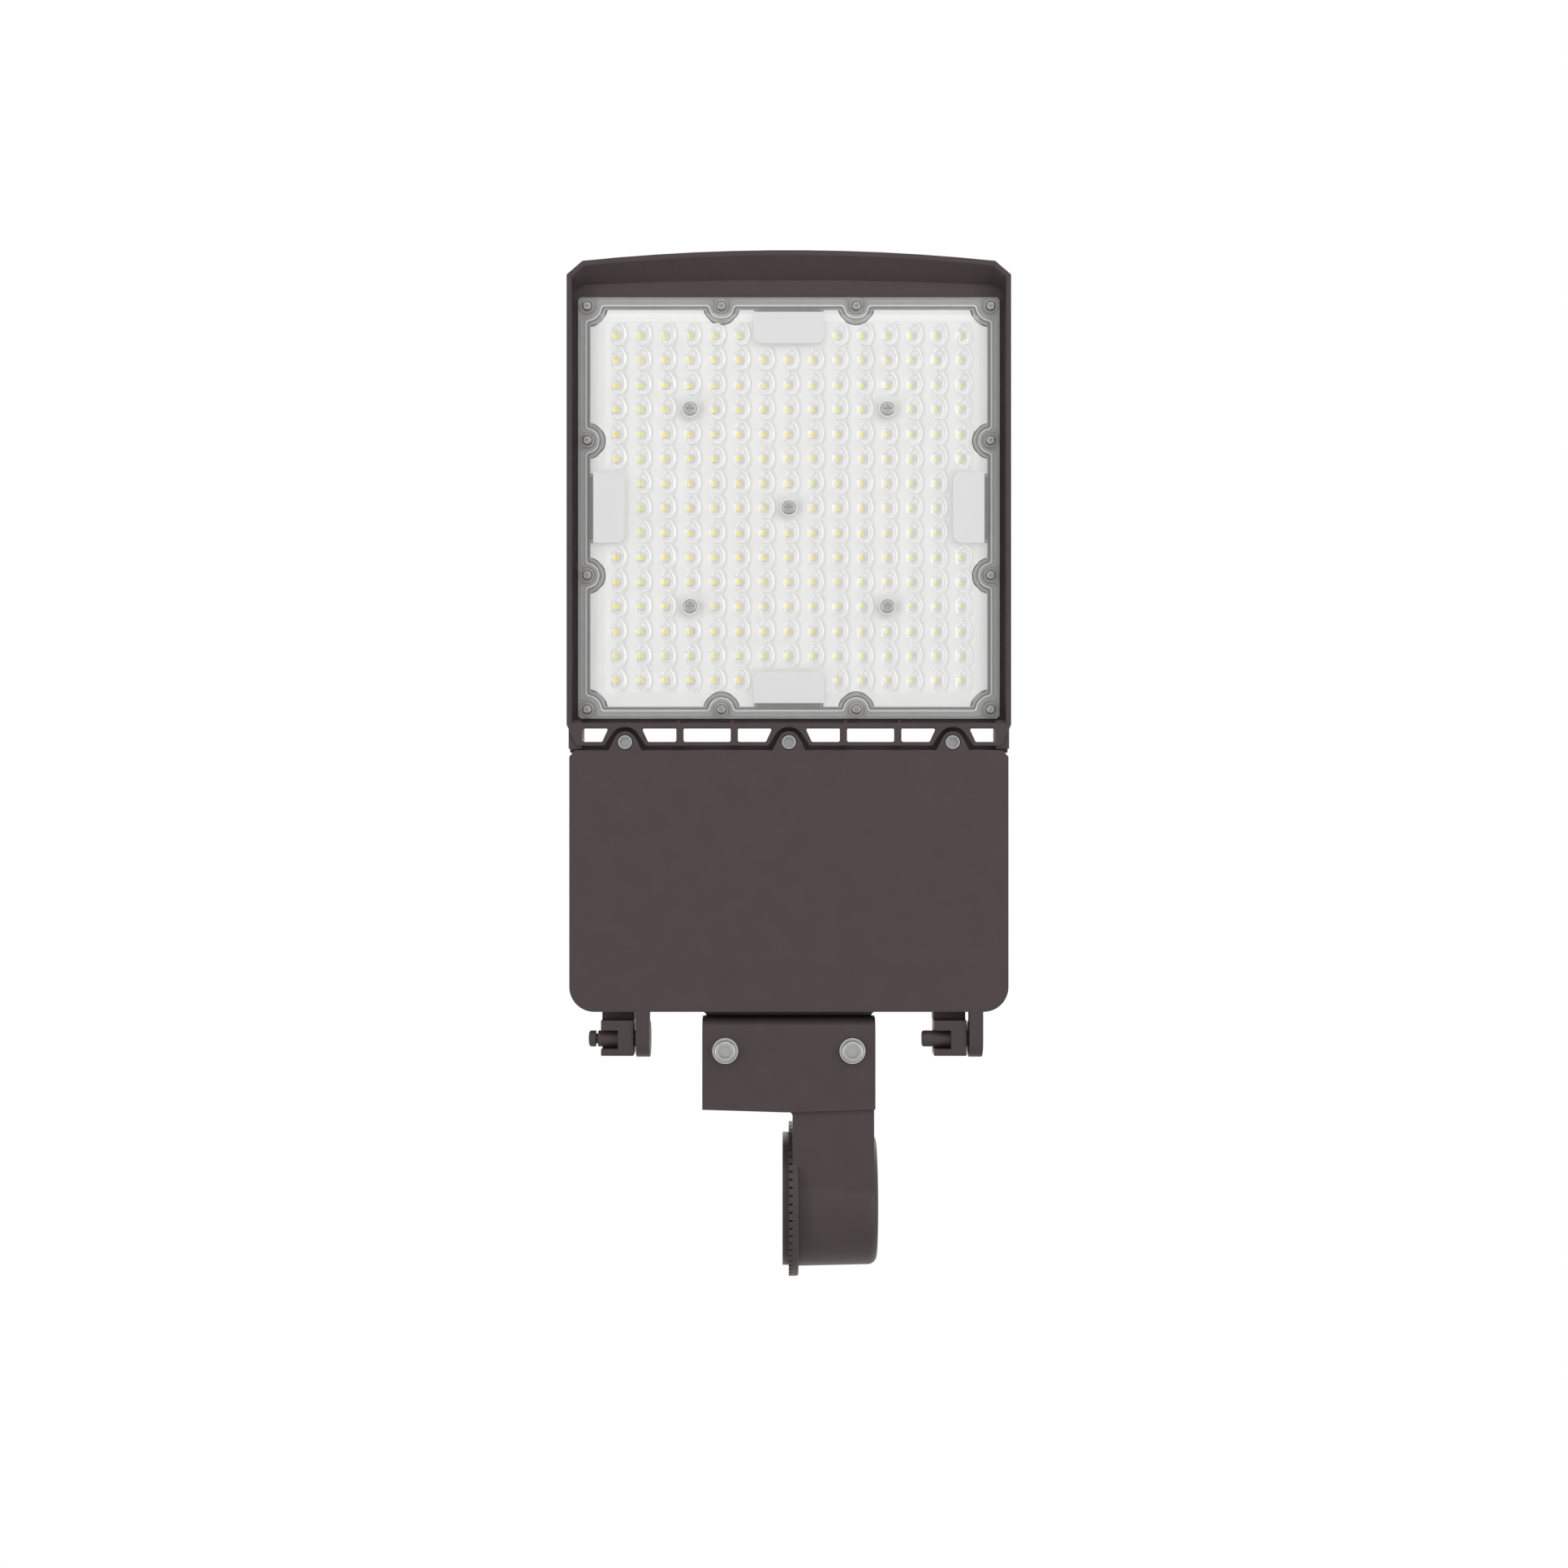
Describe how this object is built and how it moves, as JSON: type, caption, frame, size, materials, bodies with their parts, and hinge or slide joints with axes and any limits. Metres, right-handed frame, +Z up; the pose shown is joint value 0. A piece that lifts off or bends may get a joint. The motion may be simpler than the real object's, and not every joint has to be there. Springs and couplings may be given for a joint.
{
  "type": "shoebox area light",
  "caption": "Flat rectangular LED area light with a finned head, an optic plate, a hinged driver bay door and an arm that ends in half of a serrated tilting knuckle.",
  "frame": {"origin": "on the pivot axis of the knuckle, in the plane of its tooth tips", "axes": "+X along the pivot axis from the toothed face into the knuckle, -Y to the nose of the head, +Z up; the light shines down"},
  "size_m": [0.285, 0.6668, 0.1008],
  "materials": {
    "bronze_coat": "dark bronze powder coat on die-cast aluminium, satin",
    "clear_lens": "clear moulded polycarbonate",
    "grey_seal": "matt grey silicone",
    "white_board": "white solder mask on aluminium",
    "led_phosphor": "pale yellow phosphor in a white package",
    "screw_steel": "stainless steel",
    "driver_can": "plain metal case",
    "surge_case": "black plastic",
    "terminal_case": "off-white plastic",
    "lead_sleeve": "silicone sleeve",
    "connector_white": "white plastic",
    "retainer_nylon": "black nylon"
  },
  "bodies": {
    "housing": {"housing": "bronze_coat", "lens_plate": "clear_lens", "lens_gasket": "grey_seal", "led_board": "white_board", "led_packages": "led_phosphor", "lens_rim_screws": "screw_steel", "lens_field_screws": "screw_steel", "led_driver": "driver_can", "driver_screws": "screw_steel", "surge_protector": "surge_case", "surge_screws": "screw_steel", "terminal_block": "terminal_case", "terminal_screws": "screw_steel", "ground_screw": "screw_steel", "ground_lug": "screw_steel", "bay_gland": "grey_seal", "board_gland": "grey_seal", "led_leads": "lead_sleeve", "board_connector": "connector_white", "knuckle_bracket": "bronze_coat", "bracket_washers": "screw_steel", "bracket_bolts": "screw_steel", "bracket_nuts": "screw_steel", "bracket_gasket": "grey_seal"},
    "door": {"driver_cover": "bronze_coat", "cover_gasket": "grey_seal", "cover_screws": "screw_steel", "cover_screw_retainers": "retainer_nylon", "hinge_pin_left": "bronze_coat", "hinge_pin_right": "bronze_coat"}
  },
  "joints": [
    {"name": "door_hinge", "type": "hinge", "parent": "housing", "child": "door", "pos_m": [0, -0.1099, -0.0363], "axis": [1, 0, 0], "range_deg": [0, 95]}
  ]
}
